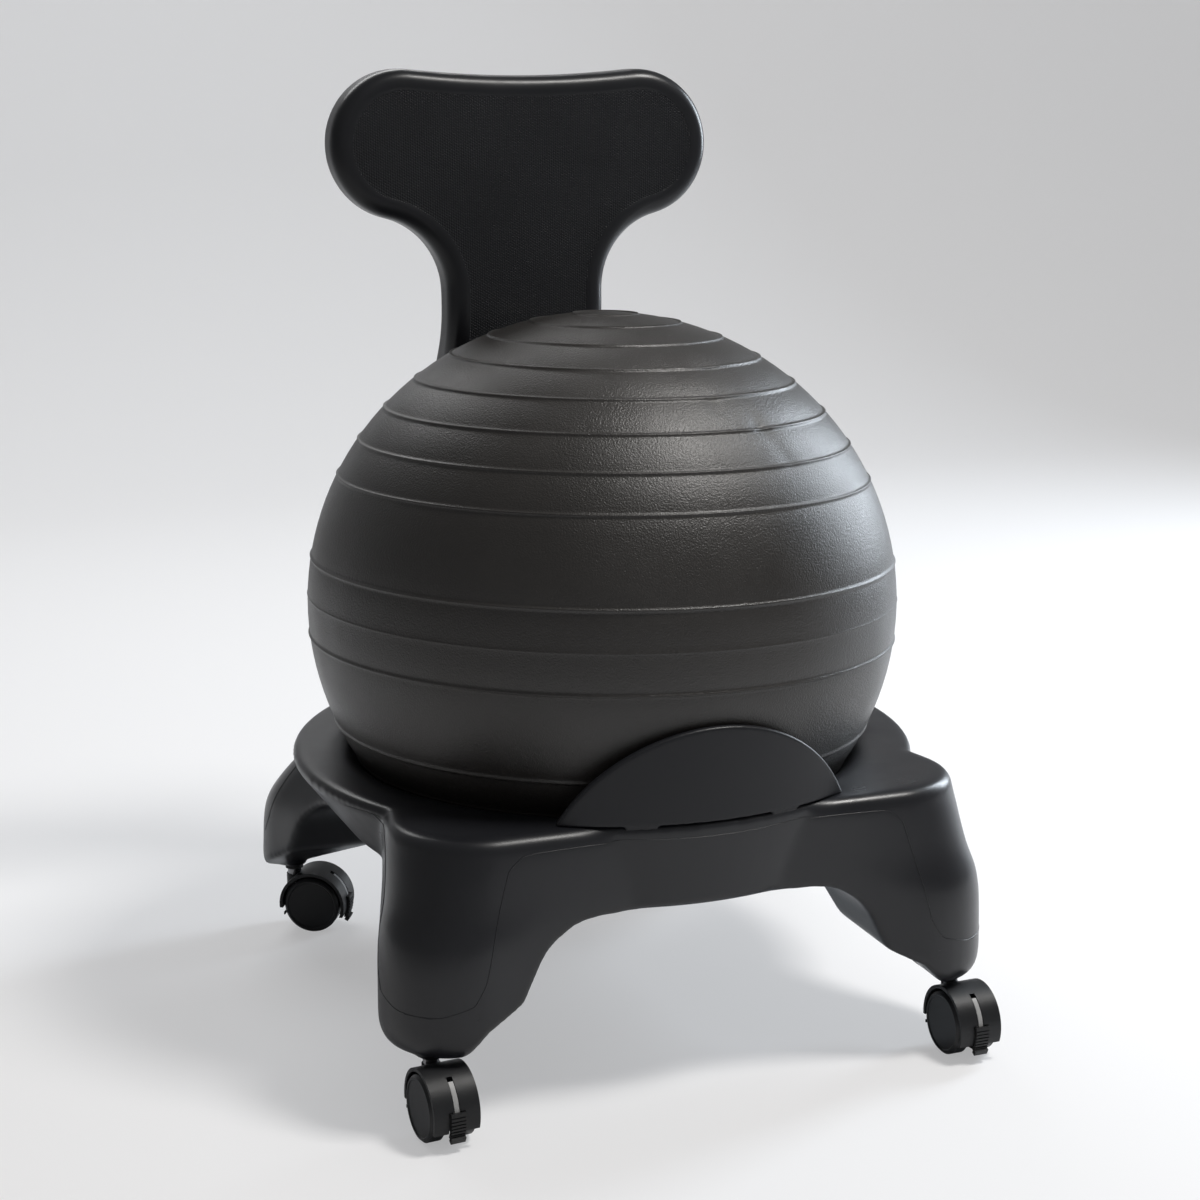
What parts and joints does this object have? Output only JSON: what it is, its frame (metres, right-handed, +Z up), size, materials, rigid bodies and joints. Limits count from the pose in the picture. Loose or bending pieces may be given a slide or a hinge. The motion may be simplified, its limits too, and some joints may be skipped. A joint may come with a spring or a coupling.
{
  "type": "balance ball chair",
  "caption": "Ball seat on a moulded four-footed base with braked twin-wheel casters, a low front guard and a contoured dimpled backrest.",
  "frame": {"origin": "on the floor, under the middle of the ball and of the base", "axes": "+Z up; the sitter faces -Y, the backrest is on +Y; +X is the right hand of a viewer who faces the front"},
  "size_m": [0.555, 0.5974, 0.819],
  "materials": {
    "base_plastic": "satin moulded plastic, near black",
    "guard_plastic": "satin moulded plastic, near black",
    "backrest_plastic": "satin plastic with fine dimples, black",
    "fastener_steel": "zinc plated",
    "insert_brass": "machined",
    "ball_vinyl": "pebbled soft vinyl, dark warm grey",
    "plug_vinyl": "smooth vinyl, black",
    "socket_nylon": "moulded nylon, black",
    "caster_nylon": "fine grained nylon, black",
    "wheel_nylon": "smooth nylon, black",
    "lever_nylon": "moulded nylon, light grey",
    "pad_nylon": "ribbed nylon, black"
  },
  "bodies": {
    "base": {"base_shell": "base_plastic", "front_guard": "guard_plastic", "backrest_shell": "backrest_plastic", "backrest_bolts": "fastener_steel", "backrest_washers": "fastener_steel", "backrest_inserts": "insert_brass", "front_left_socket": "socket_nylon", "front_right_socket": "socket_nylon", "rear_right_socket": "socket_nylon", "rear_left_socket": "socket_nylon"},
    "ball": {"ball": "ball_vinyl"},
    "ball_plug": {"ball_plug": "plug_vinyl"},
    "front_left_caster": {"front_left_stem": "fastener_steel", "front_left_grip_ring": "fastener_steel", "front_left_hood": "caster_nylon", "front_left_axle": "fastener_steel"},
    "front_left_wheel_a": {"front_left_wheel_a": "wheel_nylon"},
    "front_left_wheel_b": {"front_left_wheel_b": "wheel_nylon"},
    "front_left_brake": {"front_left_brake_arm": "lever_nylon", "front_left_brake_pad": "pad_nylon"},
    "front_right_caster": {"front_right_stem": "fastener_steel", "front_right_grip_ring": "fastener_steel", "front_right_hood": "caster_nylon", "front_right_axle": "fastener_steel"},
    "front_right_wheel_a": {"front_right_wheel_a": "wheel_nylon"},
    "front_right_wheel_b": {"front_right_wheel_b": "wheel_nylon"},
    "front_right_brake": {"front_right_brake_arm": "lever_nylon", "front_right_brake_pad": "pad_nylon"},
    "rear_right_caster": {"rear_right_stem": "fastener_steel", "rear_right_grip_ring": "fastener_steel", "rear_right_hood": "caster_nylon", "rear_right_axle": "fastener_steel"},
    "rear_right_wheel_a": {"rear_right_wheel_a": "wheel_nylon"},
    "rear_right_wheel_b": {"rear_right_wheel_b": "wheel_nylon"},
    "rear_right_brake": {"rear_right_brake_arm": "lever_nylon", "rear_right_brake_pad": "pad_nylon"},
    "rear_left_caster": {"rear_left_stem": "fastener_steel", "rear_left_grip_ring": "fastener_steel", "rear_left_hood": "caster_nylon", "rear_left_axle": "fastener_steel"},
    "rear_left_wheel_a": {"rear_left_wheel_a": "wheel_nylon"},
    "rear_left_wheel_b": {"rear_left_wheel_b": "wheel_nylon"},
    "rear_left_brake": {"rear_left_brake_arm": "lever_nylon", "rear_left_brake_pad": "pad_nylon"}
  },
  "joints": [
    {"name": "ball_lift", "type": "slide", "parent": "base", "child": "ball", "axis": [0, 0, 1], "range_m": [0, 0.025]},
    {"name": "plug_pull", "type": "slide", "parent": "ball", "child": "ball_plug", "axis": [-0.0192, -0.0227, -0.9996], "range_m": [0, 0.02]},
    {"name": "front_left_swivel", "type": "hinge", "parent": "base", "child": "front_left_caster", "pos_m": [-0.233, -0.233, 0.04], "axis": [0, 0, 1], "continuous": true},
    {"name": "front_left_wheel_a_spin", "type": "hinge", "parent": "front_left_caster", "child": "front_left_wheel_a", "pos_m": [-0.23089, -0.2549, 0.027], "axis": [0.9954, 0.0958, 0], "continuous": true},
    {"name": "front_left_wheel_b_spin", "type": "hinge", "parent": "front_left_caster", "child": "front_left_wheel_b", "pos_m": [-0.23089, -0.2549, 0.027], "axis": [0.9954, 0.0958, 0], "continuous": true},
    {"name": "front_left_brake_press", "type": "hinge", "parent": "front_left_caster", "child": "front_left_brake", "pos_m": [-0.22868, -0.27789, 0.0385], "axis": [0.9954, 0.0958, 0], "range_deg": [0, 13]},
    {"name": "front_right_swivel", "type": "hinge", "parent": "base", "child": "front_right_caster", "pos_m": [0.233, -0.233, 0.04], "axis": [0, 0, 1], "continuous": true},
    {"name": "front_right_wheel_a_spin", "type": "hinge", "parent": "front_right_caster", "child": "front_right_wheel_a", "pos_m": [0.23338, -0.255, 0.027], "axis": [0.9998, 0.0175, 0], "continuous": true},
    {"name": "front_right_wheel_b_spin", "type": "hinge", "parent": "front_right_caster", "child": "front_right_wheel_b", "pos_m": [0.23338, -0.255, 0.027], "axis": [0.9998, 0.0175, 0], "continuous": true},
    {"name": "front_right_brake_press", "type": "hinge", "parent": "front_right_caster", "child": "front_right_brake", "pos_m": [0.23379, -0.27809, 0.0385], "axis": [0.9998, 0.0175, 0], "range_deg": [0, 13]},
    {"name": "rear_right_swivel", "type": "hinge", "parent": "base", "child": "rear_right_caster", "pos_m": [0.233, 0.233, 0.04], "axis": [0, 0, 1], "continuous": true},
    {"name": "rear_right_wheel_a_spin", "type": "hinge", "parent": "rear_right_caster", "child": "rear_right_wheel_a", "pos_m": [0.23869, 0.21175, 0.027], "axis": [0.9659, 0.2588, 0], "continuous": true},
    {"name": "rear_right_wheel_b_spin", "type": "hinge", "parent": "rear_right_caster", "child": "rear_right_wheel_b", "pos_m": [0.23869, 0.21175, 0.027], "axis": [0.9659, 0.2588, 0], "continuous": true},
    {"name": "rear_right_brake_press", "type": "hinge", "parent": "rear_right_caster", "child": "rear_right_brake", "pos_m": [0.24467, 0.18944, 0.0385], "axis": [0.9659, 0.2588, 0], "range_deg": [0, 13]},
    {"name": "rear_left_swivel", "type": "hinge", "parent": "base", "child": "rear_left_caster", "pos_m": [-0.233, 0.233, 0.04], "axis": [0, 0, 1], "continuous": true},
    {"name": "rear_left_wheel_a_spin", "type": "hinge", "parent": "rear_left_caster", "child": "rear_left_wheel_a", "pos_m": [-0.21395, 0.222, 0.027], "axis": [0.5, 0.866, 0], "continuous": true},
    {"name": "rear_left_wheel_b_spin", "type": "hinge", "parent": "rear_left_caster", "child": "rear_left_wheel_b", "pos_m": [-0.21395, 0.222, 0.027], "axis": [0.5, 0.866, 0], "continuous": true},
    {"name": "rear_left_brake_press", "type": "hinge", "parent": "rear_left_caster", "child": "rear_left_brake", "pos_m": [-0.19394, 0.21045, 0.0385], "axis": [0.5, 0.866, 0], "range_deg": [0, 13]}
  ]
}
